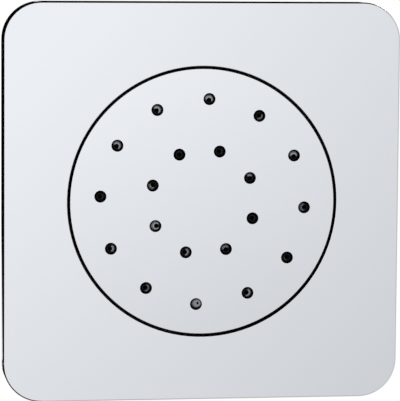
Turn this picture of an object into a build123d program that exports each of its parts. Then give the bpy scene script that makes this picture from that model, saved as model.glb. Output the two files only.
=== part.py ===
import os
from math import cos, radians, tan

from build123d import *

# Shower body jet: a square face plate on the wall, with a round spray disc that turns and tilts
# on a ball joint. Sizes are in millimetres. X runs to the right, Z up and Y into the wall.
# The origin is on the water inlet's axis, at the finished wall surface.

# Face plate
plate_side = 120.0
plate_corner = 11.5
plate_depth = 8.4
plate_face = 2.0
plate_edge = 0.45
rim_lip = 2.0
edge_break = 0.15

# Foam gasket round the back of the plate
gasket_width = 2.6
gasket_thickness = 1.8
gasket_proud = 0.6
drain_width = 8.0

# Round opening in the plate and the collar behind it
disc_gap = 0.9
opening_land = 2.0
opening_flare = 9.0
collar_reach = 9.0
collar_wall = 2.8
collar_clearance = 0.3
collar_seal_setback = 3.0
collar_seal_width = 2.5
collar_seal_height = 2.4
rib_thickness = 1.6
rib_clearance = 0.5
rib_count = 8
tongue_width = 6.0
tongue_thickness = 2.4

# Box in the wall
box_wall = 2.5
box_floor = 3.0
box_outer_round = 4.0
box_inner_round = 2.0
flange_thickness = 2.5
flange_clearance = 1.4
screw_inset = 10.0
screw_hole = 2.25
screw_head = 4.4
gusset_reach = 4.5
gusset_length = 15.0
gusset_thickness = 2.0
gusset_count = 8
nest_wall = 2.0
nest_height = 2.0
seal_fence = 2.0
floor_rib_height = 1.6
floor_rib_thickness = 2.0
grip_ring_height = 1.0
grip_ring_width = 1.6
grip_ring_pitch = 3.4

# Spray disc and its nozzles
disc_radius = 40.0
disc_thickness = 2.5
skirt_step = 0.4
skirt_wall = 1.7
outer_ring = 31.0
outer_count = 12
inner_ring = 16.0
inner_count = 8
pattern_turn = -3.4
inner_shift = -15.0
hole_radius = 1.75
nozzle_gap = 0.12
nozzle_tip = 1.02
nozzle_recess = 0.5
mouth_radius = 0.7
mouth_depth = 1.1
bore_radius = 0.45
mat_thickness = 1.5
mat_land = 1.75

# Water chamber behind the disc
chamber_gap = 2.6
chamber_floor = 2.4
chamber_rim = 3.6
chamber_seal_width = 2.2
chamber_seal_height = 1.5
web_thickness = 1.8
web_reach = 18.0
web_count = 6
snap_thickness = 1.2
snap_height = 1.9
snap_bite = 0.6
snap_opening = 9.0
skirt_lip = 1.8

# Ball joint
tilt_limit = 7.0
pivot_depth = 10.5
ball_radius = 7.0
ball_bore = 3.3
neck_radius = 4.6
ball_clearance = 0.4
seal_crown = 1.55
seal_length = 2.2
seal_opening = 5.0
lip_thickness = 0.85
seat_wall = 1.3
seat_offset = 0.4
seat_length = 3.1
collar_thread_step = 1.1
hub_wall = 2.5
collar_engagement = 5.0
collar_head = 2.0
collar_head_inset = 1.5
swing_clearance = 0.35
swing_room = 3.0

# Water inlet
inlet_bore = 7.0
inlet_hex = 15.0
inlet_hex_length = 6.0
lock_thread = 11.0
lock_thread_spare = 1.0
supply_thread = 10.48
supply_length = 15.0
thread_chamfer = 1.0
box_seal_thickness = 2.0
box_seal_width = 6.5
nut_hex = 15.0
nut_thickness = 6.0
nut_chamfer = 1.2
socket_entry = 1.0
clip_cover = 2.2
clip_thickness = 1.6
clip_groove = 5.4
clip_leg = 2.8
clip_bow = 3.0
clip_tail = 8.0
stem_seal_width = 2.2
stem_seal_height = 1.4
stem_seal_setback = 1.5
stem_seal_pitch = 5.0
stem_tail = 4.0
stem_end_gap = 0.5
waterway = 4.0
filter_bore = 8.0
regulator_length = 4.5
regulator_ring = 4.6
regulator_hole = 1.1
regulator_holes = 8
strainer_length = 2.8
strainer_setback = 3.5
strainer_ring = 1.4
strainer_bar = 1.0
strainer_bars = 3

# Fits
fit_gap = 0.05
seat_gap = 0.04
slot_gap = 0.1

# Levels along Y, from the front face to the end of the inlet
face_y = -plate_depth
plate_inside_y = face_y + plate_face
plate_back_y = -gasket_proud
collar_end_y = collar_reach
flange_front_y = -flange_thickness
mat_front_y = face_y + disc_thickness
mat_back_y = mat_front_y + mat_thickness
floor_front_y = mat_back_y + chamber_gap
chamber_back_y = floor_front_y + chamber_floor
snap_back_y = chamber_back_y + snap_thickness
skirt_end_y = snap_back_y + skirt_lip
ball_y = face_y + pivot_depth
ball_seal_front_y = ball_y - ball_radius + seal_crown
hub_front_y = ball_seal_front_y - lip_thickness
seat_front_y = ball_y + seat_offset
seat_back_y = seat_front_y + seat_length
hub_back_y = seat_back_y + collar_engagement
collar_nut_back_y = hub_back_y + collar_head
inlet_front_y = collar_nut_back_y + swing_room
clip_front_y = inlet_front_y + clip_cover
clip_back_y = clip_front_y + clip_thickness
box_floor_y = inlet_front_y + inlet_hex_length
box_back_y = box_floor_y + box_floor
box_seal_back_y = box_back_y + box_seal_thickness
nut_back_y = box_seal_back_y + nut_thickness
lock_end_y = nut_back_y + lock_thread_spare
inlet_end_y = lock_end_y + supply_length
stem_seal_y = box_floor_y + stem_seal_setback
stem_end_y = stem_seal_y + stem_seal_pitch + stem_seal_width + stem_tail
socket_floor_y = stem_end_y + stem_end_gap
strainer_back_y = inlet_end_y - strainer_setback
regulator_back_y = strainer_back_y - strainer_length
filter_front_y = regulator_back_y - regulator_length

# Radii and widths that follow from the sizes above
opening_radius = disc_radius + disc_gap
flare_end = opening_radius + (collar_end_y - face_y - opening_land) * tan(radians(opening_flare))
collar_outer = flare_end + collar_wall
box_bore = collar_outer + collar_clearance
box_outer = box_bore + box_wall
collar_groove = box_bore - collar_seal_height
rebate_side = plate_side - 2 * rim_lip
rebate_corner = plate_corner - rim_lip
cavity_side = rebate_side - 2 * gasket_width
cavity_corner = rebate_corner - gasket_width
flange_side = cavity_side - 2 * flange_clearance
rib_height = flange_front_y - rib_clearance - plate_inside_y
rib_turn = 180 / rib_count
rib_start = collar_outer - collar_wall / 2
rib_end = cavity_side / 2 / cos(radians(rib_turn)) + rim_lip / 2
tongue_x = flange_side / 2 - tongue_thickness
skirt_outer = disc_radius - skirt_step
skirt_inner = skirt_outer - skirt_wall
chamber_outer = skirt_inner - slot_gap
snap_groove = skirt_inner + snap_bite
snap_inner = snap_groove - snap_height
mat_outer = skirt_inner - slot_gap
mat_inner = inner_ring - hole_radius - mat_land
nozzle_base = hole_radius - nozzle_gap
nozzle_length = disc_thickness - nozzle_recess
hub_bore = ball_radius + ball_clearance
seat_outer = ball_radius + seat_wall
seat_bore = seat_outer + fit_gap
collar_thread = seat_bore + collar_thread_step
hub_outer = collar_thread + fit_gap + hub_wall
plug_radius = inlet_bore - fit_gap
stem_groove = inlet_bore - fit_gap - stem_seal_height
clip_inner = clip_groove + slot_gap
clip_outer = clip_inner + clip_leg
nest_hex = inlet_hex + slot_gap
nest_outer = nest_hex / cos(radians(30)) + nest_wall
fence_inner = lock_thread + box_seal_width + collar_clearance
floor_rib_end = box_outer - box_outer_round

# The rings of nozzles: radius, count and start angle
nozzle_rings = [
    (outer_ring, outer_count, pattern_turn),
    (inner_ring, inner_count, pattern_turn + inner_shift),
]

os.makedirs("parts", exist_ok=True)


# The plane across the jet's axis at depth y, seen from the front
def across(y):
    return Plane.XZ.offset(-y)


# A half plane through the jet's axis, turned about it
def through_axis(angle):
    return Plane.XY.rotated((0, angle, 0))


# A turned body about the jet's axis, from the (radius, y) corners of its half section
def turned(corners, mode=Mode.ADD):
    with BuildSketch(Plane.XY) as half_section:
        with BuildLine():
            Polyline(corners, close=True)
        make_face()
    revolve(half_section.sketch, axis=Axis.Y, mode=mode)


# A ring with a rectangular section
def turned_ring(inner, outer, front, back, mode=Mode.ADD):
    turned([(inner, front), (outer, front), (outer, back), (inner, back)], mode)


# The room that the stem's neck sweeps at full tilt, at a distance behind the ball's centre
def swing_radius(distance):
    tilt = radians(tilt_limit)
    return neck_radius / cos(tilt) + distance * tan(tilt) + swing_clearance


# The circles of one size on every nozzle's place, drawn at depth y
def nozzle_circles(y, radius):
    with BuildSketch(across(y)) as circles:
        for ring_radius, count, start in nozzle_rings:
            with PolarLocations(ring_radius, count, start_angle=start):
                Circle(radius)
    return circles.sketch


def finish(piece, label):
    piece.part.label = label
    export_step(piece.part, f"parts/{label}.step")


# Face plate: a hollow casting with the round opening, a collar behind it and stiffening ribs
with BuildPart() as escutcheon:
    with BuildSketch(across(face_y)):
        RectangleRounded(plate_side, plate_side, plate_corner)
    extrude(amount=face_y - plate_back_y)
    fillet(escutcheon.edges().group_by(Axis.Y)[0], plate_edge)
    with BuildSketch(across(plate_inside_y)):
        RectangleRounded(cavity_side, cavity_side, cavity_corner)
    extrude(amount=plate_inside_y - plate_back_y, mode=Mode.SUBTRACT)
    with BuildSketch(across(-gasket_thickness)):
        RectangleRounded(rebate_side, rebate_side, rebate_corner)
    extrude(amount=plate_back_y - gasket_thickness, mode=Mode.SUBTRACT)
    with BuildSketch(across(plate_inside_y)):
        with PolarLocations((rib_start + rib_end) / 2, rib_count, start_angle=rib_turn):
            Rectangle(rib_end - rib_start, rib_thickness)
    extrude(amount=-rib_height)
    with BuildSketch(across(plate_inside_y)):
        with Locations((-tongue_x, 0), (tongue_x, 0)):
            Rectangle(tongue_thickness, tongue_width)
    extrude(amount=plate_inside_y - plate_back_y)
    turned_ring(opening_radius, collar_outer, plate_inside_y, collar_end_y)
    turned(
        [
            (0, face_y),
            (opening_radius, face_y),
            (opening_radius, face_y + opening_land),
            (flare_end, collar_end_y),
            (0, collar_end_y),
        ],
        Mode.SUBTRACT,
    )
    turned_ring(
        collar_groove,
        box_bore,
        collar_seal_setback,
        collar_seal_setback + collar_seal_width + slot_gap,
        Mode.SUBTRACT,
    )
    opening_edge = escutcheon.edges().group_by(Axis.Y)[0].filter_by(GeomType.CIRCLE)
    fillet(opening_edge, edge_break)
    with BuildSketch(across(plate_inside_y)):
        with Locations((0, -(opening_radius + box_bore) / 2)):
            Rectangle(drain_width, box_bore - opening_radius)
    extrude(amount=plate_inside_y - collar_seal_setback / 2, mode=Mode.SUBTRACT)
    with BuildSketch(across(-gasket_thickness)):
        with Locations((0, -(cavity_side + plate_side) / 4)):
            Rectangle(drain_width, (plate_side - cavity_side) / 2)
    extrude(amount=-gasket_thickness, mode=Mode.SUBTRACT)
finish(escutcheon, "escutcheon")

# Foam gasket in the rebate of the plate's rim, left open at the bottom as a drain
with BuildPart() as rim_gasket:
    with BuildSketch(across(-gasket_thickness)):
        RectangleRounded(rebate_side, rebate_side, rebate_corner)
        RectangleRounded(cavity_side, cavity_side, cavity_corner, mode=Mode.SUBTRACT)
        with Locations((0, -cavity_side / 2)):
            Rectangle(drain_width, 2 * gasket_width, mode=Mode.SUBTRACT)
    extrude(amount=-gasket_thickness)
finish(rim_gasket, "rim_gasket")

# Seal ring that grips the box's bore and holds the plate on
with BuildPart() as collar_seal:
    turned_ring(
        collar_groove,
        box_bore - seat_gap,
        collar_seal_setback + slot_gap / 2,
        collar_seal_setback + slot_gap / 2 + collar_seal_width,
    )
finish(collar_seal, "collar_seal")

# Moulded box in the wall, with a screw flange in front and a nest for the inlet's hexagon
with BuildPart() as wall_box:
    turned_ring(0, box_outer, flange_front_y, box_back_y)
    fillet(wall_box.edges().group_by(Axis.Y)[-1], box_outer_round)
    with BuildSketch(across(flange_front_y)):
        RectangleRounded(flange_side, flange_side, cavity_corner)
    extrude(amount=-flange_thickness)
    for turn in range(gusset_count):
        with BuildSketch(through_axis(turn * 360 / gusset_count)):
            with BuildLine():
                Polyline(
                    (box_outer - box_wall / 2, 0),
                    (box_outer + gusset_reach, 0),
                    (box_outer - box_wall / 2, gusset_length),
                    close=True,
                )
            make_face()
        extrude(amount=gusset_thickness / 2, both=True)
        with BuildSketch(through_axis(turn * 360 / gusset_count)):
            with BuildLine():
                Polyline(
                    (fence_inner + seal_fence / 2, box_back_y - box_floor / 2),
                    (fence_inner + seal_fence / 2, box_back_y + floor_rib_height),
                    (floor_rib_end - 2 * floor_rib_height, box_back_y + floor_rib_height),
                    (floor_rib_end, box_back_y - box_floor / 2),
                    close=True,
                )
            make_face()
        extrude(amount=floor_rib_thickness / 2, both=True)
    turned_ring(
        fence_inner,
        fence_inner + seal_fence,
        box_back_y - box_floor / 2,
        box_back_y + floor_rib_height,
    )
    for ring in range(2):
        ring_front = gusset_length + ring * grip_ring_pitch
        turned(
            [
                (box_outer - box_wall / 2, ring_front),
                (box_outer, ring_front),
                (box_outer + grip_ring_height, ring_front + grip_ring_width / 2),
                (box_outer, ring_front + grip_ring_width),
                (box_outer - box_wall / 2, ring_front + grip_ring_width),
            ]
        )
    turned_ring(0, box_bore, flange_front_y, box_floor_y, Mode.SUBTRACT)
    inner_corner = wall_box.edges().filter_by(GeomType.CIRCLE).filter_by_position(
        Axis.Y, box_floor_y - slot_gap, box_floor_y + slot_gap
    )
    fillet(inner_corner, box_inner_round)
    with BuildSketch(across(box_floor_y - nest_height)):
        Circle(nest_outer)
        RegularPolygon(nest_hex, 6, major_radius=False, mode=Mode.SUBTRACT)
    extrude(amount=-nest_height)
    with BuildSketch(across(box_floor_y)):
        Circle(lock_thread + collar_clearance)
    extrude(amount=-box_floor, mode=Mode.SUBTRACT)
    with BuildSketch(across(flange_front_y)):
        with Locations((-tongue_x, 0), (tongue_x, 0)):
            Rectangle(tongue_thickness * 3, tongue_width + 2 * collar_clearance)
    extrude(amount=-flange_thickness, mode=Mode.SUBTRACT)
    with Locations(across(flange_front_y)):
        with GridLocations(flange_side - 2 * screw_inset, flange_side - 2 * screw_inset, 2, 2):
            CounterSinkHole(screw_hole, screw_head, depth=flange_thickness)
finish(wall_box, "wall_box")

# Brass inlet: hexagon inside the box, lock thread through its floor, supply thread behind
with BuildPart() as inlet_body:
    with BuildSketch(across(inlet_front_y)):
        RegularPolygon(inlet_hex, 6, major_radius=False)
    extrude(amount=-inlet_hex_length)
    turned(
        [
            (0, box_floor_y),
            (lock_thread, box_floor_y),
            (lock_thread, lock_end_y),
            (supply_thread, lock_end_y),
            (supply_thread, inlet_end_y - thread_chamfer),
            (supply_thread - thread_chamfer, inlet_end_y),
            (0, inlet_end_y),
        ]
    )
    turned(
        [
            (0, inlet_front_y),
            (inlet_bore + socket_entry, inlet_front_y),
            (inlet_bore, inlet_front_y + socket_entry),
            (inlet_bore, socket_floor_y),
            (waterway, socket_floor_y),
            (waterway, filter_front_y),
            (filter_bore, filter_front_y),
            (filter_bore, inlet_end_y),
            (0, inlet_end_y),
        ],
        Mode.SUBTRACT,
    )
    with BuildSketch(across(clip_front_y - slot_gap)):
        with Locations((-(clip_inner + clip_outer) / 2, 0), ((clip_inner + clip_outer) / 2, 0)):
            Rectangle(clip_leg + 2 * slot_gap, 2.5 * inlet_hex)
    extrude(amount=-(clip_thickness + 2 * slot_gap), mode=Mode.SUBTRACT)
finish(inlet_body, "inlet_body")

# Flat seal and lock nut behind the box's floor
with BuildPart() as box_seal:
    turned_ring(lock_thread + slot_gap, lock_thread + box_seal_width, box_back_y, box_seal_back_y)
finish(box_seal, "box_seal")

with BuildPart() as lock_nut:
    with BuildSketch(across(box_seal_back_y)):
        RegularPolygon(nut_hex, 6, major_radius=False)
        Circle(lock_thread + fit_gap, mode=Mode.SUBTRACT)
    extrude(amount=-nut_thickness)
    nut_corner = nut_hex / cos(radians(30))
    turned(
        [
            (0, box_seal_back_y),
            (nut_corner, box_seal_back_y),
            (nut_corner, nut_back_y - nut_chamfer),
            (nut_corner - 2 * nut_chamfer, nut_back_y),
            (0, nut_back_y),
        ],
        Mode.INTERSECT,
    )
finish(lock_nut, "lock_nut")

# Spring clip that drops through the inlet's slots into the stem's groove
with BuildPart() as stem_clip:
    with BuildSketch(across(clip_front_y)) as clip_outline:
        with Locations((0, (inlet_hex + clip_bow - clip_tail) / 2)):
            Rectangle(2 * clip_outer, inlet_hex + clip_bow + clip_tail)
        with Locations((0, (inlet_hex - clip_tail) / 2)):
            Rectangle(2 * clip_inner, inlet_hex + clip_tail, mode=Mode.SUBTRACT)
        fillet(clip_outline.vertices().group_by(Axis.Y)[-1], clip_leg)
    extrude(amount=-clip_thickness)
finish(stem_clip, "stem_clip")

# Flow regulator and strainer in the inlet's rear bore
with BuildPart() as flow_regulator:
    turned_ring(0, filter_bore - fit_gap, filter_front_y, regulator_back_y)
    with BuildSketch(across(filter_front_y)):
        with PolarLocations(regulator_ring, regulator_holes):
            Circle(regulator_hole)
    extrude(amount=-regulator_length, mode=Mode.SUBTRACT)
    turned(
        [
            (0, filter_front_y),
            (waterway, filter_front_y),
            (0, filter_front_y + regulator_length / 2),
        ],
        Mode.SUBTRACT,
    )
finish(flow_regulator, "flow_regulator")

with BuildPart() as inlet_strainer:
    strainer_outer = filter_bore - fit_gap
    turned_ring(strainer_outer - strainer_ring, strainer_outer, regulator_back_y, strainer_back_y)
    with BuildSketch(across(regulator_back_y + strainer_length / 2)):
        with PolarLocations(0, strainer_bars, angular_range=180):
            Rectangle(2 * strainer_outer - strainer_ring, strainer_bar)
    extrude(amount=-strainer_length / 2)
finish(inlet_strainer, "inlet_strainer")

# Hollow ball stem: the ball in front, a neck, and a plug that spins in the inlet's socket
with BuildPart() as ball_stem:
    shoulder_y = inlet_front_y + socket_entry
    turned(
        [
            (0, ball_y),
            (neck_radius, ball_y),
            (neck_radius, shoulder_y - (plug_radius - neck_radius)),
            (plug_radius, shoulder_y),
            (plug_radius, clip_front_y - slot_gap),
            (clip_groove, clip_front_y - slot_gap),
            (clip_groove, clip_back_y + slot_gap),
            (plug_radius, clip_back_y + slot_gap),
            (plug_radius, stem_end_y - socket_entry),
            (plug_radius - socket_entry, stem_end_y),
            (0, stem_end_y),
        ]
    )
    with Locations((0, ball_y, 0)):
        Sphere(ball_radius, rotation=(90, 0, 0))
    for seal in range(2):
        groove_front = stem_seal_y + seal * stem_seal_pitch
        groove_back = groove_front + stem_seal_width + slot_gap
        turned_ring(stem_groove, plug_radius, groove_front, groove_back, Mode.SUBTRACT)
    turned_ring(0, ball_bore, ball_y - ball_radius, stem_end_y, Mode.SUBTRACT)
finish(ball_stem, "ball_stem")

with BuildPart() as stem_seals:
    for seal in range(2):
        seal_front = stem_seal_y + seal * stem_seal_pitch + slot_gap / 2
        turned_ring(stem_groove, inlet_bore - seat_gap, seal_front, seal_front + stem_seal_width)
finish(stem_seals, "stem_seals")

# Spray disc: the flat face with its nozzle holes, and a skirt that holds the chamber
with BuildPart() as spray_disc:
    turned(
        [
            (0, face_y),
            (disc_radius, face_y),
            (disc_radius, mat_front_y),
            (skirt_outer, mat_front_y + skirt_step),
            (skirt_outer, skirt_end_y),
            (skirt_inner, skirt_end_y),
            (skirt_inner, mat_front_y),
            (0, mat_front_y),
        ]
    )
    fillet(spray_disc.edges().group_by(Axis.Y)[0], edge_break)
    turned_ring(skirt_inner, snap_groove, chamber_back_y, snap_back_y + slot_gap, Mode.SUBTRACT)
    extrude(nozzle_circles(face_y, hole_radius), amount=-disc_thickness, mode=Mode.SUBTRACT)
finish(spray_disc, "spray_disc")

# Silicone nozzle mat: one moulding, with a nipple standing in each hole of the disc
with BuildPart() as nozzle_mat:
    turned_ring(mat_inner, mat_outer, mat_front_y, mat_back_y)
    with Locations(across(mat_front_y)):
        for ring_radius, count, start in nozzle_rings:
            with PolarLocations(ring_radius, count, start_angle=start):
                Cone(nozzle_base, nozzle_tip, nozzle_length, align=(Align.CENTER, Align.CENTER, Align.MIN))
    tip_y = face_y + nozzle_recess
    extrude(nozzle_circles(tip_y, mouth_radius), amount=-mouth_depth, mode=Mode.SUBTRACT)
    extrude(nozzle_circles(tip_y, bore_radius), amount=tip_y - mat_back_y, mode=Mode.SUBTRACT)
finish(nozzle_mat, "nozzle_mat")

# Water chamber: clamps the mat's rim, spreads the water and holds the ball in its hub
with BuildPart() as spray_chamber:
    turned(
        [
            (seal_opening, hub_front_y),
            (hub_outer, hub_front_y),
            (hub_outer, floor_front_y),
            (chamber_outer - chamber_rim, floor_front_y),
            (chamber_outer - chamber_rim, mat_back_y),
            (chamber_outer, mat_back_y),
            (chamber_outer, chamber_back_y),
            (hub_outer, chamber_back_y),
            (hub_outer, hub_back_y),
            (collar_thread + fit_gap, hub_back_y),
            (collar_thread + fit_gap, seat_back_y),
            (seat_bore, seat_back_y),
            (seat_bore, seat_front_y),
            (hub_bore, seat_front_y),
            (hub_bore, ball_seal_front_y),
            (seal_opening, ball_seal_front_y),
        ]
    )
    chamber_groove_y = (mat_back_y + chamber_back_y - chamber_seal_width) / 2
    turned_ring(
        chamber_outer - chamber_seal_height,
        chamber_outer,
        chamber_groove_y - slot_gap / 2,
        chamber_groove_y + chamber_seal_width + slot_gap / 2,
        Mode.SUBTRACT,
    )
    for turn in range(web_count):
        with BuildSketch(through_axis(turn * 360 / web_count)):
            with BuildLine():
                Polyline(
                    (hub_outer - hub_wall / 2, chamber_back_y),
                    (hub_outer + web_reach, chamber_back_y),
                    (hub_outer - hub_wall / 2, hub_back_y - collar_head),
                    close=True,
                )
            make_face()
        extrude(amount=web_thickness / 2, both=True)
finish(spray_chamber, "spray_chamber")

with BuildPart() as chamber_seal:
    turned_ring(
        chamber_outer - chamber_seal_height,
        skirt_inner - seat_gap,
        chamber_groove_y,
        chamber_groove_y + chamber_seal_width,
    )
finish(chamber_seal, "chamber_seal")

# Snap ring in the skirt's groove, open at the bottom
with BuildPart() as snap_ring:
    turned_ring(snap_inner, snap_groove - fit_gap, chamber_back_y, snap_back_y)
    with BuildSketch(across(chamber_back_y)):
        with Locations((0, -snap_groove + snap_height / 2)):
            Rectangle(snap_opening, 2 * snap_height)
    extrude(amount=-snap_thickness, mode=Mode.SUBTRACT)
finish(snap_ring, "snap_ring")

# Seal in front of the ball, seat ring behind it, and the collar nut that holds them in
with BuildPart() as ball_seal:
    turned_ring(seal_opening, hub_bore - fit_gap, ball_seal_front_y, ball_seal_front_y + seal_length)
    with Locations((0, ball_y, 0)):
        Sphere(ball_radius + seat_gap, rotation=(90, 0, 0), mode=Mode.SUBTRACT)
finish(ball_seal, "ball_seal")

with BuildPart() as ball_seat:
    turned_ring(swing_radius(seat_back_y - ball_y), seat_outer, seat_front_y, seat_back_y)
    with Locations((0, ball_y, 0)):
        Sphere(ball_radius + seat_gap, rotation=(90, 0, 0), mode=Mode.SUBTRACT)
finish(ball_seat, "ball_seat")

with BuildPart() as ball_collar:
    turned_ring(0, collar_thread, seat_back_y, hub_back_y)
    with BuildSketch(across(hub_back_y)):
        RegularPolygon(hub_outer - collar_head_inset, 6, major_radius=False)
    extrude(amount=-collar_head)
    turned(
        [
            (0, seat_back_y),
            (swing_radius(seat_back_y - ball_y), seat_back_y),
            (swing_radius(collar_nut_back_y - ball_y), collar_nut_back_y),
            (0, collar_nut_back_y),
        ],
        Mode.SUBTRACT,
    )
    with Locations((0, ball_y, 0)):
        Sphere(ball_radius + ball_clearance, rotation=(90, 0, 0), mode=Mode.SUBTRACT)
finish(ball_collar, "ball_collar")
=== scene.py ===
# Shower body jet: square chrome face plate with a swivelling spray disc, in a pale studio
from math import atan2, cos, degrees, hypot, pi, radians, sin

import bpy
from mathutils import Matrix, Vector


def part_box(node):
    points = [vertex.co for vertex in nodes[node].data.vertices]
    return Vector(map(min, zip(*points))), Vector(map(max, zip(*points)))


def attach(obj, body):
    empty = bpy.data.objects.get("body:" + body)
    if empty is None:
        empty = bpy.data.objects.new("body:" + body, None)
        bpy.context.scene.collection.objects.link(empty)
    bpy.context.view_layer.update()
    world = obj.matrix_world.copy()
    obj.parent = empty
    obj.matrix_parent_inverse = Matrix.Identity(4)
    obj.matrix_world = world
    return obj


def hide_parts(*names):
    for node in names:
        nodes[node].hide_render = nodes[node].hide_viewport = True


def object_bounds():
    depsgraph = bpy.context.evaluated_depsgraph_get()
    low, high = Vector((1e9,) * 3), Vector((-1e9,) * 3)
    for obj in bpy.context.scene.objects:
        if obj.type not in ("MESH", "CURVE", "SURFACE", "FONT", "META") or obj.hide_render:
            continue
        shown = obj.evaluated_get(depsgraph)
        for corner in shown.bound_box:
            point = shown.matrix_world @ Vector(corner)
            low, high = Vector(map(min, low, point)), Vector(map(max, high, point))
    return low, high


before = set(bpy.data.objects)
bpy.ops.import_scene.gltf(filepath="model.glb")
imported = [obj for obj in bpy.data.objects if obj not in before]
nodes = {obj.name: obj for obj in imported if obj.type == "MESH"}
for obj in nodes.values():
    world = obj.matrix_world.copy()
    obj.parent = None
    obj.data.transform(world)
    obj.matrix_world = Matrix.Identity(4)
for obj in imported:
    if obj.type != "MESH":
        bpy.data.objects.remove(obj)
cadLow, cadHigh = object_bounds()
mm = 0.001
print("frame loaded:", len(nodes), "solids")


# helpers
def hexColour(text):
    # sRGB hex to the linear colour that shaders want
    parts = [int(text[i:i + 2], 16) / 255 for i in (1, 3, 5)]
    linear = [p / 12.92 if p <= 0.04045 else ((p + 0.055) / 1.055) ** 2.4 for p in parts]
    return (*linear, 1.0)


def addNode(tree, kind, links=None, **settings):
    # one node; links maps an input to a number, a colour or another node's output
    node = tree.nodes.new(kind)
    for name, value in settings.items():
        setattr(node, name, value)
    for name, value in (links or {}).items():
        if isinstance(value, bpy.types.NodeSocket):
            tree.links.new(value, node.inputs[name])
        else:
            node.inputs[name].default_value = value
    return node


def newMaterial(name):
    material = bpy.data.materials.new(name)
    material.use_nodes = True
    tree = material.node_tree
    tree.nodes.clear()
    place = addNode(tree, "ShaderNodeTexCoord").outputs["Object"]
    return material, tree, place


def closeMaterial(tree, shader):
    addNode(tree, "ShaderNodeOutputMaterial", {"Surface": shader.outputs[0]})


# materials
# chrome plate on polished brass: a clean mirror, only a trace of buffing haze in patches of about 9 mm;
# deep in the gap round the disc the metal is painted dark and rough, painted shade in that narrow recess,
# where the plating also gives out
chromeGap = {
    "radius": 41.5, "halfWidth": 4.0,  # mm from the axis
    "shadeFrom": 2.2, "shadeAll": 3.0,  # mm behind the face
}


def polishedChrome():
    material, tree, place = newMaterial("chrome_plate_buffed_shaded_gap")
    haze = addNode(tree, "ShaderNodeTexNoise", {"Vector": place, "Scale": 1 / (9 * mm), "Detail": 2.0})
    shine = addNode(tree, "ShaderNodeMapRange", {
        "Value": haze.outputs["Fac"], "From Min": 0.3, "From Max": 0.7, "To Min": 0.02, "To Max": 0.035})
    flat = addNode(tree, "ShaderNodeVectorMath", {0: place, 1: (1, 0, 1)}, operation="MULTIPLY")
    fromAxis = addNode(tree, "ShaderNodeVectorMath", {0: flat.outputs[0]}, operation="LENGTH")
    inGap = addNode(tree, "ShaderNodeMath", {
        0: fromAxis.outputs["Value"], 1: chromeGap["radius"] * mm, 2: chromeGap["halfWidth"] * mm},
        operation="COMPARE")
    deep = addNode(tree, "ShaderNodeMapRange", {
        "Value": addNode(tree, "ShaderNodeSeparateXYZ", {0: place}).outputs["Y"],
        "From Min": cadLow.y + chromeGap["shadeFrom"] * mm, "From Max": cadLow.y + chromeGap["shadeAll"] * mm})
    # painted shade: 1 deep in the gap round the disc, where the colour turns dark and the chrome rough
    gapShade = addNode(tree, "ShaderNodeMath", {
        0: inGap.outputs[0], 1: deep.outputs["Result"]}, operation="MULTIPLY")
    colour = addNode(tree, "ShaderNodeMix", {
        "Factor": gapShade.outputs[0], "A": hexColour("#EEF1F4"), "B": hexColour("#2A2C2E")},
        data_type="RGBA")
    rough = addNode(tree, "ShaderNodeMapRange", {
        "Value": gapShade.outputs[0], "To Min": shine.outputs["Result"], "To Max": 0.5})
    closeMaterial(tree, addNode(tree, "ShaderNodeBsdfPrincipled", {
        "Base Color": colour.outputs["Result"], "Metallic": 1.0, "Roughness": rough.outputs["Result"]}))
    return material


# moulded silicone, matt: painted near black as shade down in the holes and mouths, with a pale painted
# highlight on the lit side of the tips, a bloom of about 0.6 mm
def mouldedSilicone():
    material, tree, place = newMaterial("silicone_painted_lit_and_shaded")
    bloom = addNode(tree, "ShaderNodeTexNoise", {"Vector": place, "Scale": 1 / (0.6 * mm), "Detail": 3.0})
    paintedHighlight = addNode(tree, "ShaderNodeAttribute", attribute_name="paintedHighlight")
    cloudy = addNode(tree, "ShaderNodeMapRange", {
        "Value": bloom.outputs["Fac"], "From Min": 0.3, "From Max": 0.7, "To Min": 0.8, "To Max": 1.0})
    # painted highlight on the lit side of each tip, mottled by the bloom; elsewhere the near black is painted
    # shade
    pale = addNode(tree, "ShaderNodeMath", {
        0: paintedHighlight.outputs["Fac"], 1: cloudy.outputs["Result"]}, operation="MULTIPLY")
    colour = addNode(tree, "ShaderNodeMix", {
        "Factor": pale.outputs[0], "A": hexColour("#0A0B0C"), "B": hexColour("#9A9DA0")},
        data_type="RGBA")
    bump = addNode(tree, "ShaderNodeBump", {
        "Height": bloom.outputs["Fac"], "Strength": 0.2, "Distance": 0.02 * mm})
    closeMaterial(tree, addNode(tree, "ShaderNodeBsdfPrincipled", {
        "Base Color": colour.outputs["Result"], "Roughness": 0.55, "Specular IOR Level": 0.15,
        "Normal": bump.outputs["Normal"]}))
    return material


# seal rubber pressed in a polished mould: near black, even, faint grey talc in patches of 2 mm
def sealRubber():
    material, tree, place = newMaterial("nitrile_rubber_moulded")
    talc = addNode(tree, "ShaderNodeTexNoise", {"Vector": place, "Scale": 1 / (2 * mm), "Detail": 4.0})
    colour = addNode(tree, "ShaderNodeMix", {
        "Factor": talc.outputs["Fac"], "A": hexColour("#141516"), "B": hexColour("#242526")},
        data_type="RGBA")
    rough = addNode(tree, "ShaderNodeMapRange", {
        "Value": talc.outputs["Fac"], "From Min": 0.3, "From Max": 0.7, "To Min": 0.42, "To Max": 0.6})
    closeMaterial(tree, addNode(tree, "ShaderNodeBsdfPrincipled", {
        "Base Color": colour.outputs["Result"], "Roughness": rough.outputs["Result"]}))
    return material
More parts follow.
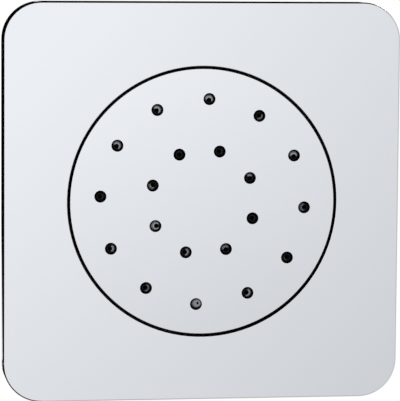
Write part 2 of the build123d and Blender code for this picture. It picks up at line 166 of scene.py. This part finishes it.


# closed-cell foam cut from sheet: charcoal, cells of about 0.5 mm drawn as small pits, with painted shade
# darkening each pit towards its bottom
def closedCellFoam():
    material, tree, place = newMaterial("foam_sheet_cut")
    cells = addNode(tree, "ShaderNodeTexVoronoi", {"Vector": place, "Scale": 1 / (0.5 * mm)})
    # painted shade: darker at the middle of each cell, where its pit is deepest
    colour = addNode(tree, "ShaderNodeMix", {
        "Factor": cells.outputs["Distance"], "A": hexColour("#1E1F20"), "B": hexColour("#3A3B3D")},
        data_type="RGBA")
    bump = addNode(tree, "ShaderNodeBump", {
        "Height": cells.outputs["Distance"], "Strength": 0.6, "Distance": 0.12 * mm})
    closeMaterial(tree, addNode(tree, "ShaderNodeBsdfPrincipled", {
        "Base Color": colour.outputs["Result"], "Roughness": 0.85, "Normal": bump.outputs["Normal"]}))
    return material


# ABS moulded in a spark-eroded tool: mid grey, grain of about 0.35 mm, slight cloudiness over 25 mm
def grainedAbs():
    material, tree, place = newMaterial("abs_moulded_grain")
    grain = addNode(tree, "ShaderNodeTexNoise", {"Vector": place, "Scale": 1 / (0.35 * mm), "Detail": 2.0})
    cloud = addNode(tree, "ShaderNodeTexNoise", {"Vector": place, "Scale": 1 / (25 * mm), "Detail": 2.0})
    colour = addNode(tree, "ShaderNodeMix", {
        "Factor": cloud.outputs["Fac"], "A": hexColour("#6E7276"), "B": hexColour("#7C8084")},
        data_type="RGBA")
    rough = addNode(tree, "ShaderNodeMapRange", {
        "Value": grain.outputs["Fac"], "From Min": 0.3, "From Max": 0.7, "To Min": 0.42, "To Max": 0.62})
    bump = addNode(tree, "ShaderNodeBump", {
        "Height": grain.outputs["Fac"], "Strength": 0.35, "Distance": 0.05 * mm})
    closeMaterial(tree, addNode(tree, "ShaderNodeBsdfPrincipled", {
        "Base Color": colour.outputs["Result"], "Roughness": rough.outputs["Result"],
        "Normal": bump.outputs["Normal"]}))
    return material


# brass turned from bar: warm yellow, fine rings round the axis from the tool, too fine to show and so drawn
# 0.6 mm apart
def turnedBrass():
    material, tree, place = newMaterial("brass_turned")
    ringScale = 2 * pi / 20 / (0.6 * mm)  # at scale 1 the wave repeats every 2 pi / 20
    rings = addNode(tree, "ShaderNodeTexWave", {
        "Vector": place, "Scale": ringScale, "Distortion": 0.4, "Detail": 2.0},
        wave_type="RINGS", rings_direction="Y", wave_profile="SIN")
    along = addNode(tree, "ShaderNodeTexWave", {
        "Vector": place, "Scale": ringScale, "Distortion": 0.4, "Detail": 2.0},
        wave_type="BANDS", bands_direction="Y", wave_profile="SIN")
    marks = addNode(tree, "ShaderNodeMath", {
        0: rings.outputs["Fac"], 1: along.outputs["Fac"]}, operation="MULTIPLY")
    tarnish = addNode(tree, "ShaderNodeTexNoise", {"Vector": place, "Scale": 1 / (7 * mm), "Detail": 3.0})
    colour = addNode(tree, "ShaderNodeMix", {
        "Factor": tarnish.outputs["Fac"], "A": hexColour("#D9B66A"), "B": hexColour("#BF9850")},
        data_type="RGBA")
    rough = addNode(tree, "ShaderNodeMapRange", {
        "Value": marks.outputs[0], "To Min": 0.2, "To Max": 0.34})
    bump = addNode(tree, "ShaderNodeBump", {
        "Height": marks.outputs[0], "Strength": 0.12, "Distance": 0.02 * mm})
    closeMaterial(tree, addNode(tree, "ShaderNodeBsdfPrincipled", {
        "Base Color": colour.outputs["Result"], "Metallic": 1.0, "Roughness": rough.outputs["Result"],
        "Normal": bump.outputs["Normal"]}))
    return material


# stainless steel rolled to sheet and wire: cool grey, streaks about 0.3 mm wide and 6 mm long
def rolledStainless():
    material, tree, place = newMaterial("stainless_steel_rolled")
    stretch = addNode(tree, "ShaderNodeMapping", {
        "Vector": place, "Scale": (1 / (6 * mm), 1 / (0.3 * mm), 1 / (0.3 * mm))})
    streaks = addNode(tree, "ShaderNodeTexNoise", {"Vector": stretch.outputs[0], "Scale": 1.0, "Detail": 3.0})
    rough = addNode(tree, "ShaderNodeMapRange", {
        "Value": streaks.outputs["Fac"], "From Min": 0.3, "From Max": 0.7, "To Min": 0.18, "To Max": 0.34})
    colour = addNode(tree, "ShaderNodeMix", {
        "Factor": streaks.outputs["Fac"], "A": hexColour("#C6C8CA"), "B": hexColour("#D6D7D8")},
        data_type="RGBA")
    closeMaterial(tree, addNode(tree, "ShaderNodeBsdfPrincipled", {
        "Base Color": colour.outputs["Result"], "Metallic": 1.0, "Roughness": rough.outputs["Result"]}))
    return material


# natural acetal, moulded: milky white with a waxy shine, faint flow clouds over 5 mm
def naturalAcetal():
    material, tree, place = newMaterial("acetal_moulded_natural")
    flow = addNode(tree, "ShaderNodeTexNoise", {"Vector": place, "Scale": 1 / (5 * mm), "Detail": 3.0})
    colour = addNode(tree, "ShaderNodeMix", {
        "Factor": flow.outputs["Fac"], "A": hexColour("#EBEAE3"), "B": hexColour("#DFDDD3")},
        data_type="RGBA")
    closeMaterial(tree, addNode(tree, "ShaderNodeBsdfPrincipled", {
        "Base Color": colour.outputs["Result"], "Roughness": 0.33, "Subsurface Weight": 0.15,
        "Subsurface Scale": 1.0 * mm}))
    return material


# glass-filled acetal, moulded: dark grey, the fibres show as pale flecks of about 0.25 mm
def filledAcetal():
    material, tree, place = newMaterial("acetal_glass_filled_moulded")
    flecks = addNode(tree, "ShaderNodeTexNoise", {"Vector": place, "Scale": 1 / (0.25 * mm), "Detail": 4.0})
    lift = addNode(tree, "ShaderNodeMapRange", {
        "Value": flecks.outputs["Fac"], "From Min": 0.55, "From Max": 0.75})
    colour = addNode(tree, "ShaderNodeMix", {
        "Factor": lift.outputs["Result"], "A": hexColour("#2B2D30"), "B": hexColour("#55585B")},
        data_type="RGBA")
    closeMaterial(tree, addNode(tree, "ShaderNodeBsdfPrincipled", {
        "Base Color": colour.outputs["Result"], "Roughness": 0.5}))
    return material


finishes = {
    "chrome": polishedChrome(), "silicone": mouldedSilicone(), "rubber_seal": sealRubber(),
    "foam": closedCellFoam(), "box_plastic": grainedAbs(), "brass": turnedBrass(),
    "stainless": rolledStainless(), "acetal": naturalAcetal(), "chamber_plastic": filledAcetal(),
}
# which finish each solid takes
solidsOf = {
    "chrome": ("escutcheon", "spray_disc", "ball_stem"), "silicone": ("nozzle_mat",), "foam": ("rim_gasket",),
    "rubber_seal": ("collar_seal", "box_seal", "stem_seals", "chamber_seal", "ball_seal"),
    "box_plastic": ("wall_box",), "brass": ("inlet_body", "lock_nut", "ball_collar"),
    "stainless": ("stem_clip", "inlet_strainer", "snap_ring"), "acetal": ("flow_regulator", "ball_seat"),
    "chamber_plastic": ("spray_chamber",),
}
slotOf = {node: slot for slot, solids in solidsOf.items() for node in solids}
for nodeName, slotName in slotOf.items():
    for socket in nodes[nodeName].material_slots:
        socket.material = finishes[slotName]
print("materials made:", len(finishes))


# modelling helpers
weld = 0.002 * mm  # corners nearer than this are one corner
sliver = 5 * weld  # what a cut leaves over is thinner than this
tight, near, loose = 0.01 * mm, 0.02 * mm, 0.05 * mm  # slack when corners are picked by their place
smoothAngle = 30  # degrees; edges that turn more stay sharp


def smooth(share):
    # eases from 0 to 1
    share = min(max(share, 0.0), 1.0)
    return share * share * (3 - 2 * share)


def workOn(piece):
    # only this piece selected and active, in object mode
    if bpy.context.object and bpy.context.object.mode != "OBJECT":
        bpy.ops.object.mode_set(mode="OBJECT")
    bpy.ops.object.select_all(action="DESELECT")
    piece.select_set(True)
    bpy.context.view_layer.objects.active = piece


def pick(piece, kind, test):
    # selects vertices, edges or faces by a test, and stays in edit mode
    workOn(piece)
    bpy.ops.object.mode_set(mode="EDIT")
    bpy.ops.mesh.select_mode(type=kind)
    bpy.ops.mesh.select_all(action="DESELECT")
    bpy.ops.object.mode_set(mode="OBJECT")
    items = {"VERT": piece.data.vertices, "EDGE": piece.data.edges, "FACE": piece.data.polygons}[kind]
    for item in items:
        item.select = test(item)
    bpy.ops.object.mode_set(mode="EDIT")


def mergedCopy(nodeName, pieceName):
    # a copy of a solid to work on, its loose triangles joined
    piece = bpy.data.objects.new(pieceName, nodes[nodeName].data.copy())
    bpy.context.collection.objects.link(piece)
    pick(piece, "VERT", lambda vertex: True)
    bpy.ops.mesh.remove_doubles(threshold=weld)
    bpy.ops.object.mode_set(mode="OBJECT")
    return piece


def modify(piece, kind, **settings):
    # one modifier, set and applied
    workOn(piece)
    modifier = piece.modifiers.new(kind.lower(), kind)
    for name, value in settings.items():
        setattr(modifier, name, value)
    bpy.ops.object.modifier_apply(modifier=modifier.name)


def settle(piece, body, slotName, *replaced):
    # shading, finish, body and slot of a finished piece
    workOn(piece)
    bpy.ops.object.transform_apply(location=True, rotation=True, scale=True)
    bpy.ops.object.shade_smooth_by_angle(angle=radians(smoothAngle))
    piece.data.materials.clear()
    piece.data.materials.append(finishes[slotName])
    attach(piece, body)
    if replaced:
        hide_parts(*replaced)
    print("piece", piece.name, len(piece.data.polygons), "faces")


# nozzle mat: the moulding with rounded lips, its soft nipples no longer all straight, some with a highlight
# painted pale on the lit side
nozzleTips = {
    "rings": ((31.0, 12, -3.4), (16.0, 8, -18.4)),  # radius in mm, count, first angle
    "matThickness": 1.5, "reach": 1.8, "tipRadius": 1.02, "mouthRadius": 0.7, "mouthDepth": 1.1,
    "lipRound": 0.12, "lipSteps": 3,
    "extraRings": (0.45, 0.9, 1.35),  # mm behind the tip, so that the painted highlight can fade into painted shade down the flank
    "highlightFull": 0.8, "highlightEnd": 1.5,  # mm behind the tip
    "highlightFade": 0.4,  # share of the painted highlight's reach round the tip over which it fades
    # for each nipple the lit side that gets the painted highlight and how far round it reaches in degrees,
    # how pale it is, and its lean away from that side in degrees
    "tips": (
        (185, 105, 0.38, 4), (90, 95, 0.95, 9), (-50, 80, 0.42, 3), (75, 112, 1.0, 9), (45, 110, 1.0, 8),
        (45, 115, 0.9, 8), (0, 60, 0.06, 3), (0, 72, 0.8, 7), (-15, 100, 0.36, 4), (200, 360, 0.8, 19),
        (-15, 100, 0.74, 8), (220, 55, 0.08, 4), (0, 60, 0.02, 2), (92, 50, 0.7, 4), (-5, 60, 0.05, 4),
        (90, 60, 0.02, 2), (225, 75, 0.55, 6), (180, 170, 0.95, 10), (-5, 90, 0.67, 8), (110, 80, 0.5, 5)),
    "pinched": {9: 0.55},  # one mouth is nearly shut
}
nozzleSpots = []  # each nozzle's axis
for ringRadius, count, first in nozzleTips["rings"]:
    for step in range(count):
        turn = radians(first + step * 360 / count)
        nozzleSpots.append((ringRadius * mm * cos(turn), ringRadius * mm * sin(turn)))


def away(point, spot):
    # distance of a point from a nozzle's axis
    return hypot(point.x - spot[0], point.z - spot[1])


def onCircle(mesh, edge, levelY, *radii):
    # both ends at one depth and on the same circle round a nozzle's axis
    ends = [mesh.vertices[i].co for i in edge.vertices]
    if any(abs(end.y - levelY) > near for end in ends):
        return False
    reaches = [min(away(end, spot) for spot in nozzleSpots) for end in ends]
    return any(all(abs(reach - radius) < 2 * near for reach in reaches) for radius in radii)


def highlightShare(turned, spread, behind):
    # how much painted highlight is left that far from the lit side and that far behind the tip; painted shade
    # takes over beyond
    aroundShare = smooth((spread - turned) / (nozzleTips["highlightFade"] * spread))
    fadeLength = nozzleTips["highlightEnd"] - nozzleTips["highlightFull"]
    return aroundShare * smooth((nozzleTips["highlightEnd"] - behind) / fadeLength)


def makeNozzleTips():
    piece = mergedCopy("nozzle_mat", "nozzle_mat_soft")
    mesh = piece.data
    low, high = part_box("nozzle_mat")
    tipY, matY = low.y, high.y - nozzleTips["matThickness"] * mm  # the tips, and the front of the flat mat
    mouth, lip = nozzleTips["mouthRadius"] * mm, nozzleTips["lipRound"] * mm
    pick(piece, "EDGE", lambda edge: onCircle(mesh, edge, tipY, nozzleTips["tipRadius"] * mm, mouth))
    bpy.ops.mesh.bevel(offset=lip, segments=nozzleTips["lipSteps"], profile=0.5)
    for setBack in nozzleTips["extraRings"]:
        bpy.ops.mesh.select_all(action="SELECT")
        bpy.ops.mesh.bisect(plane_co=(0, tipY + setBack * mm, 0), plane_no=(0, 1, 0))
    bpy.ops.object.mode_set(mode="OBJECT")
    # per corner, how much painted highlight it gets
    mesh.attributes.new("paintedHighlight", "FLOAT", "POINT")
    for index, spot in enumerate(nozzleSpots):
        side, spread, pale, lean = nozzleTips["tips"][index]
        # the painted highlight: on the lip and the flank, not in the mouth, strongest on the lit side; the
        # rest stays near black as painted shade
        for vertex in mesh.vertices:
            point = vertex.co
            if point.y > matY - loose or away(point, spot) > nozzleTips["reach"] * mm:
                continue
            if point.y > tipY + lip + near and away(point, spot) < mouth + near:
                continue
            turned = degrees(atan2(point.z - spot[1], point.x - spot[0])) - side
            turned = abs((turned + 180) % 360 - 180)
            highlight = pale * highlightShare(turned, spread, (point.y - tipY) / mm)
            mesh.attributes["paintedHighlight"].data[vertex.index].value = highlight
        if index in nozzleTips["pinched"]:
            squeeze = nozzleTips["pinched"][index]
            pick(piece, "VERT", lambda vertex: away(vertex.co, spot) < mouth + lip + near
                 and vertex.co.y < tipY + nozzleTips["mouthDepth"] * mm + loose)
            bpy.ops.transform.resize(value=(squeeze, 1, squeeze), center_override=(spot[0], tipY, spot[1]))
        root = (spot[0], matY, spot[1])
        side, lean = radians(side), radians(lean)
        pick(piece, "VERT", lambda vertex: vertex.co.y < matY - loose
             and away(vertex.co, spot) < nozzleTips["reach"] * mm)
        bpy.ops.transform.rotate(value=-lean * sin(side), orient_axis="X", center_override=root)
        bpy.ops.transform.rotate(value=lean * cos(side), orient_axis="Z", center_override=root)
        bpy.ops.object.mode_set(mode="OBJECT")
    settle(piece, "spray_head", "silicone", "nozzle_mat")


makeNozzleTips()

# spray disc: pressed with a slight crown from top to bottom, which shows in what it mirrors
discFace = {
    "crownRadius": 2200.0, "crownDepth": 1.2,  # mm; the crown dies out that deep behind the face
    "cutPitch": 4.0,  # mm between the cuts that let the flat face follow the crown
    "holeRadius": 1.75, "mouthWider": 0.07,  # mm; each hole opens out that much at the face
    "aheadNormal": -0.999,  # a facet that looks straight ahead has less than this along Y
}


def makeDiscFace():
    piece = mergedCopy("spray_disc", "spray_disc_crowned")
    mesh = piece.data
    low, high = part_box("spray_disc")
    flare = 1 + discFace["mouthWider"] / discFace["holeRadius"]
    for spot in nozzleSpots:
        pick(piece, "VERT", lambda vertex: vertex.co.y < low.y + tight
             and away(vertex.co, spot) < discFace["holeRadius"] * mm + loose)
        bpy.ops.transform.resize(value=(flare, 1, flare), center_override=(spot[0], low.y, spot[1]))
    pitch = discFace["cutPitch"] * mm
    rows = int(high.z / pitch)
    for row in range(-rows, rows + 1):
        pick(piece, "FACE", lambda face: face.normal.y < discFace["aheadNormal"]
             and face.center.y < low.y + tight)
        bpy.ops.mesh.bisect(plane_co=(0, 0, row * pitch), plane_no=(0, 0, 1))
    bpy.ops.object.mode_set(mode="OBJECT")
    for vertex in mesh.vertices:
        share = smooth(1 - (vertex.co.y - low.y) / (discFace["crownDepth"] * mm))
        vertex.co.y += share * vertex.co.z ** 2 / (2 * discFace["crownRadius"] * mm)
    settle(piece, "spray_head", "chrome", "spray_disc")
    modify(piece, "WEIGHTED_NORMAL", keep_sharp=True)  # no shading streaks from hole to hole


makeDiscFace()

# water inlet: the brass body with its pipe thread and lock thread cut into it
inletThreads = {
    # mm, and turns: half inch pipe thread, then the fine lock thread; they start that far before the rear end
    "supply": {"startBack": 14.4, "pitch": 1.814, "root": 9.32, "height": 1.7, "turns": 9},
    "lock": {"startBack": 17.6, "pitch": 1.0, "root": 10.4, "height": 0.9, "turns": 2},
    "stepsPerTurn": 56,
}


def threadCutter(row, endY):
    # a V that winds round the axis; an equilateral triangle is close to the thread's 55 degrees
    size = row["height"] * mm / 1.5  # such a triangle is one and a half radii high
    bpy.ops.object.select_all(action="DESELECT")
    bpy.ops.mesh.primitive_circle_add(
        vertices=3, radius=size, location=(row["root"] * mm + size, endY - row["startBack"] * mm, 0),
        rotation=(0, 0, pi / 2))
    cutter = bpy.context.object
    bpy.ops.object.transform_apply(location=True, rotation=True, scale=True)
    steps = inletThreads["stepsPerTurn"]
    modify(cutter, "SCREW", axis="Y", screw_offset=row["pitch"] * mm, iterations=row["turns"],
           steps=steps, render_steps=steps, use_merge_vertices=False)
    pick(cutter, "VERT", lambda vertex: True)
    bpy.ops.mesh.fill_holes(sides=0)
    bpy.ops.mesh.select_all(action="SELECT")
    bpy.ops.mesh.normals_make_consistent(inside=False)
    bpy.ops.object.mode_set(mode="OBJECT")
    return cutter


def makeThreadedInlet():
    piece = mergedCopy("inlet_body", "inlet_threaded")
    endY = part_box("inlet_body")[1].y
    for name in ("supply", "lock"):
        cutter = threadCutter(inletThreads[name], endY)
        modify(piece, "BOOLEAN", object=cutter, operation="DIFFERENCE", solver="EXACT")
        bpy.data.objects.remove(cutter)
    pick(piece, "VERT", lambda vertex: True)  # slivers left by the cuts
    bpy.ops.mesh.remove_doubles(threshold=sliver)
    bpy.ops.mesh.dissolve_degenerate(threshold=sliver)
    bpy.ops.object.mode_set(mode="OBJECT")
    settle(piece, "wall_unit", "brass", "inlet_body")


makeThreadedInlet()

# strainer gauze: woven wire behind the strainer's bars
gauze = {
    "pitch": 0.8, "wire": 0.13, "wave": 0.13, "radius": 6.7, "setForward": 1.9,  # mm
    "half": 8, "sides": 6,  # wires to either side of the middle one, and facets round a wire
    "atWire": 0.2,  # share of the pitch that counts as lying on a crossing wire
}


def makeGauze():
    pitch, wire, wave = gauze["pitch"] * mm, gauze["wire"] * mm, gauze["wave"] * mm
    half, radius = gauze["half"], gauze["radius"] * mm
    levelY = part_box("inlet_strainer")[1].y - gauze["setForward"] * mm
    bpy.ops.object.select_all(action="DESELECT")
    length = 2 * (half + 1) * pitch
    bpy.ops.mesh.primitive_cylinder_add(
        vertices=gauze["sides"], radius=wire, depth=length, location=(0, levelY, 0), rotation=(0, pi / 2, 0))
    first = bpy.context.object
    bpy.ops.object.transform_apply(location=True, rotation=True, scale=True)
    pick(first, "EDGE", lambda edge: abs(first.data.vertices[edge.vertices[0]].co.x
                                         - first.data.vertices[edge.vertices[1]].co.x) > pitch)
    bpy.ops.mesh.subdivide(number_cuts=4 * (half + 1) - 1)  # two steps to each pitch

    def bendAt(vertex):
        # 1 where this wire passes behind another, -1 where it passes in front, 0 between them
        number = round(vertex.co.x / pitch)
        if abs(vertex.co.x / pitch - number) > gauze["atWire"]:
            return 0
        return 1 if number % 2 else -1

    for bend in (1, -1):
        pick(first, "VERT", lambda vertex: bendAt(vertex) == bend)
        bpy.ops.transform.translate(value=(0, bend * wave, 0))
    bpy.ops.object.mode_set(mode="OBJECT")
    wires = []
    for across in (False, True):
        for row in range(-half, half + 1):
            copy = bpy.data.objects.new("gauze_wire", first.data.copy())
            bpy.context.collection.objects.link(copy)
            flip = (row % 2 == 0) != across
            pick(copy, "VERT", lambda vertex: True)
            if flip:
                bpy.ops.transform.mirror(constraint_axis=(False, True, False), center_override=(0, levelY, 0))
                bpy.ops.mesh.normals_make_consistent(inside=False)
            bpy.ops.transform.translate(value=(0, 0, row * pitch))
            chord = max(radius ** 2 - (row * pitch) ** 2, 0) ** 0.5
            for end in (1, -1):
                bpy.ops.mesh.select_all(action="SELECT")
                bpy.ops.mesh.bisect(
                    plane_co=(end * chord, 0, 0), plane_no=(end, 0, 0), use_fill=True, clear_outer=True)
            if across:
                bpy.ops.mesh.select_all(action="SELECT")
                bpy.ops.transform.rotate(value=pi / 2, orient_axis="Y", center_override=(0, levelY, 0))
            bpy.ops.object.mode_set(mode="OBJECT")
            wires.append(copy)
    bpy.data.objects.remove(first)
    workOn(wires[0])
    for other in wires:
        other.select_set(True)
    bpy.ops.object.join()
    piece = bpy.context.object
    piece.name = "strainer_gauze"
    settle(piece, "wall_unit", "stainless")


makeGauze()

# studio: pale floor, two soft lamps, a pale room with soft panels, black cards along the left and top rim
studio = {
    "floorHeight": -0.16, "floorSize": 6.0, "floorColour": "#F2F2F1",
    "floorFadeFrom": 0.20, "floorFadeTo": 0.50,  # metres from the object where the floor turns to white paper
    "roomBright": 0.689, "roomTint": "#FDFDFF",
    # soft panels: heading and rise in degrees from straight ahead of the plate, right and up positive, full
    # within one angle, gone at the next, and how much they add to the room
    "panels": (
        (-12.0, 14.0, 23.5, 35.0, 0.309),  # in front
        (-70.0, 10.0, 15.0, 52.0, 0.35),  # left
        (70.0, 10.0, 15.0, 52.0, -0.15),  # right, a little darker than the room
        (180.0, 0.0, 20.0, 60.0, 0.2),  # behind
        (-45.0, 52.0, 18.0, 38.0, -0.6)),  # dark, high on the left
    "dimFrom": 12.0, "dimTo": 60.0, "dimShare": 0.8,  # degrees below level, where the room dims to that share
    "lamps": ((-0.45, -1.0, 1.0, 8.0), (0.6, 1.4, 0.9, 12.0)),  # place and watts, front and back
    "lampSize": 0.7, "flagColour": "#050505",
    # black cards that follow the plate's left and top edges, seen by reflections only: the gap to the plate,
    # then front and back depth, round the bottom left corner, up the side, round the top left corner and
    # along the top, all in mm
    "rimCorner": 11.5, "rimTurns": (90, 75, 60, 45, 30, 15, 0), "rimRight": 66.0,
    "frontCard": (0.2, [(-9.2, -6.4)] * 7 + [(-12.0, -6.4)] * 7 + [(-9.2, -6.4)]),  # darkens the rounded edge
    "rearCard": (0.6, [(0.5, 20.0)] * 4 + [(0.5, 14.0), (0.0, 6.0), (-0.5, 2.8), (-0.5, 14.7)]
                 + [(-3.0, 30.0)] * 5 + [(12.0, 45.0)] * 2),  # darkens the sides, seen at a slant
}


# the room: seen as plain white behind the object, while metal mirrors its panels
def studioRoom():
    world = bpy.data.worlds.new("pale_studio")
    bpy.context.scene.world = world
    world.use_nodes = True
    tree = world.node_tree
    tree.nodes.clear()
    direction = addNode(tree, "ShaderNodeTexCoord").outputs["Generated"]
    level = studio["roomBright"]
    for heading, rise, full, end, extra in studio["panels"]:
        heading, rise = radians(heading), radians(rise)
        axis = (sin(heading) * cos(rise), -cos(heading) * cos(rise), sin(rise))
        towards = addNode(tree, "ShaderNodeVectorMath", {0: direction, 1: axis}, operation="DOT_PRODUCT")
        angle = addNode(tree, "ShaderNodeMath", {0: towards.outputs["Value"]}, operation="ARCCOSINE")
        glow = addNode(tree, "ShaderNodeMapRange", {
            "Value": angle.outputs[0], "From Min": radians(full), "From Max": radians(end),
            "To Min": extra, "To Max": 0.0})
        summed = addNode(tree, "ShaderNodeMath", {0: level, 1: glow.outputs["Result"]}, operation="ADD")
        level = summed.outputs[0]
    dim = addNode(tree, "ShaderNodeMapRange", {
        "Value": addNode(tree, "ShaderNodeSeparateXYZ", {0: direction}).outputs["Z"],
        "From Min": -sin(radians(studio["dimTo"])), "From Max": -sin(radians(studio["dimFrom"])),
        "To Min": studio["dimShare"], "To Max": 1.0})
    dimmed = addNode(tree, "ShaderNodeMath", {0: level, 1: dim.outputs["Result"]}, operation="MULTIPLY")
    room = addNode(tree, "ShaderNodeBackground", {
        "Color": hexColour(studio["roomTint"]), "Strength": dimmed.outputs[0]})
    white = addNode(tree, "ShaderNodeBackground", {"Color": (1, 1, 1, 1), "Strength": 1.0})
    seen = addNode(tree, "ShaderNodeLightPath").outputs["Is Camera Ray"]
    mixed = addNode(tree, "ShaderNodeMixShader", {0: seen, 1: room.outputs[0], 2: white.outputs[0]})
    addNode(tree, "ShaderNodeOutputWorld", {"Surface": mixed.outputs[0]})


# painted floor, rolled on: pale and matt under the object, plain white paper further out
def studioFloor():
    bpy.ops.object.select_all(action="DESELECT")
    bpy.ops.mesh.primitive_plane_add(size=studio["floorSize"], location=(0, 0, studio["floorHeight"]))
    floor = bpy.context.object
    floor.name = "studio_floor"
    material, tree, place = newMaterial("painted_floor_pale")
    paint = addNode(tree, "ShaderNodeBsdfDiffuse", {"Color": hexColour(studio["floorColour"])})
    paper = addNode(tree, "ShaderNodeEmission", {"Color": (1, 1, 1, 1), "Strength": 1.0})
    fromMiddle = addNode(tree, "ShaderNodeVectorMath", {0: place}, operation="LENGTH")
    fade = addNode(tree, "ShaderNodeMapRange", {
        "Value": fromMiddle.outputs["Value"],
        "From Min": studio["floorFadeFrom"], "From Max": studio["floorFadeTo"]},
        interpolation_type="SMOOTHSTEP")
    seen = addNode(tree, "ShaderNodeLightPath").outputs["Is Camera Ray"]
    white = addNode(tree, "ShaderNodeMath", {0: fade.outputs["Result"], 1: seen}, operation="MULTIPLY")
    closeMaterial(tree, addNode(tree, "ShaderNodeMixShader", {
        0: white.outputs[0], 1: paint.outputs[0], 2: paper.outputs[0]}))
    floor.data.materials.append(material)
    floor.visible_glossy = False  # the metal reflects the pale room instead


# black cotton cloth, woven and dyed: takes nearly all light, so that a rim that mirrors it looks black
def blackCloth():
    material, tree = newMaterial("black_flag_cloth")[:2]
    closeMaterial(tree, addNode(tree, "ShaderNodeBsdfDiffuse", {"Color": hexColour(studio["flagColour"])}))
    return material


def blackFlag(name, cloth, gap, depths):
    # a ribbon that follows the rim at a gap, each row of it between two depths
    bpy.ops.object.select_all(action="DESELECT")
    bpy.ops.mesh.primitive_grid_add(x_subdivisions=1, y_subdivisions=len(depths) - 1, size=1.0)
    card = bpy.context.object
    card.name = name
    radius = studio["rimCorner"] * mm
    centre, reach = cadLow.x + radius, radius + gap * mm
    rim = []
    for level, side in ((cadLow.z + radius, -1), (cadHigh.z - radius, 1)):
        for turn in studio["rimTurns"][::-side]:
            rim.append((centre - reach * cos(radians(turn)), level + side * reach * sin(radians(turn))))
    rim.append((studio["rimRight"] * mm, cadHigh.z + gap * mm))
    corners = [(x, depth * mm, z) for (x, z), row in zip(rim, depths) for depth in row]
    for vertex, corner in zip(card.data.vertices, corners):
        vertex.co = corner
    card.data.materials.append(cloth)
    card.visible_camera = card.visible_diffuse = card.visible_shadow = card.visible_transmission = False


def softLamp(number, x, y, z, watts):
    bpy.ops.object.light_add(type="AREA", location=(x, y, z))
    lamp = bpy.context.object
    lamp.name = f"soft_lamp_{number}"
    lamp.data.size = studio["lampSize"]
    lamp.data.energy = watts
    lamp.rotation_euler = (-Vector((x, y, z))).to_track_quat("-Z", "Y").to_euler()
    lamp.visible_camera = False
    lamp.visible_glossy = y > 0  # the chrome's face and rims mirror the panels, not the front lamp


studioRoom()
studioFloor()
flagCloth = blackCloth()
blackFlag("flag_rim_front", flagCloth, *studio["frontCard"])
blackFlag("flag_rim_behind", flagCloth, *studio["rearCard"])
for number, lampRow in enumerate(studio["lamps"]):
    softLamp(number, *lampRow)
print("studio lit")

# camera: above and to the left of the plate, a long lens
cameraSet = {"place": (-0.11613, -0.79058, 0.07698), "turn": (84.4716, -0.4019, -8.3451), "lens": 237.3}
bpy.ops.object.camera_add(location=cameraSet["place"], rotation=[radians(a) for a in cameraSet["turn"]])
camera = bpy.context.object
camera.data.lens = cameraSet["lens"]
camera.data.sensor_width = 36.0
camera.data.clip_start = 0.01
camera.data.clip_end = 20.0
bpy.context.scene.camera = camera
bpy.context.scene.view_settings.view_transform = "Standard"

print("scene ready")
